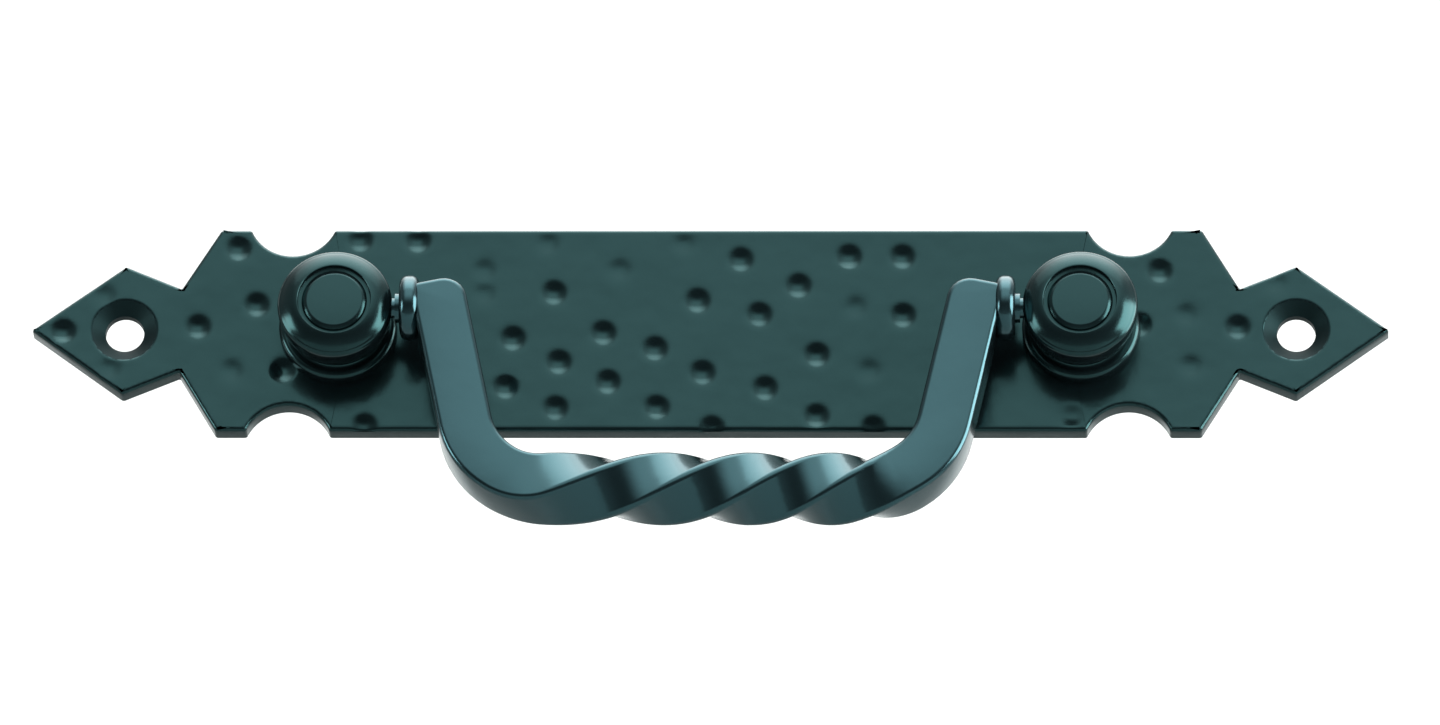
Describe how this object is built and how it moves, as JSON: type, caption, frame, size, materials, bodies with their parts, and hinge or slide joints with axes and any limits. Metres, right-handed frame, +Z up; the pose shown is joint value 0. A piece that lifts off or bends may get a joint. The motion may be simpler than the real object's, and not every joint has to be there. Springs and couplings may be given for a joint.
{
  "type": "drop pull",
  "caption": "Hammered drop pull: long plate with spear ends and round notches, turned posts, and a square bail with a twisted grip that swings between them.",
  "frame": {"origin": "on the backplate's back face, midway between the fixing holes", "axes": "+Z up as fixed on an upright drawer front, +X along the plate toward the right-hand fixing hole, +Y into the drawer front, so the bail hangs in front of the plate on the -Y side"},
  "size_m": [0.1756, 0.0138, 0.0441],
  "materials": {
    "black_paint": "semi-gloss"
  },
  "bodies": {
    "plate": {"backplate": "black_paint", "left_post": "black_paint", "right_post": "black_paint"},
    "bail": {"bail": "black_paint"}
  },
  "joints": [
    {"name": "bail_swing", "type": "hinge", "parent": "plate", "child": "bail", "pos_m": [0, -0.0093, 0], "axis": [-1, 0, 0], "range_deg": [-10, 190]}
  ]
}
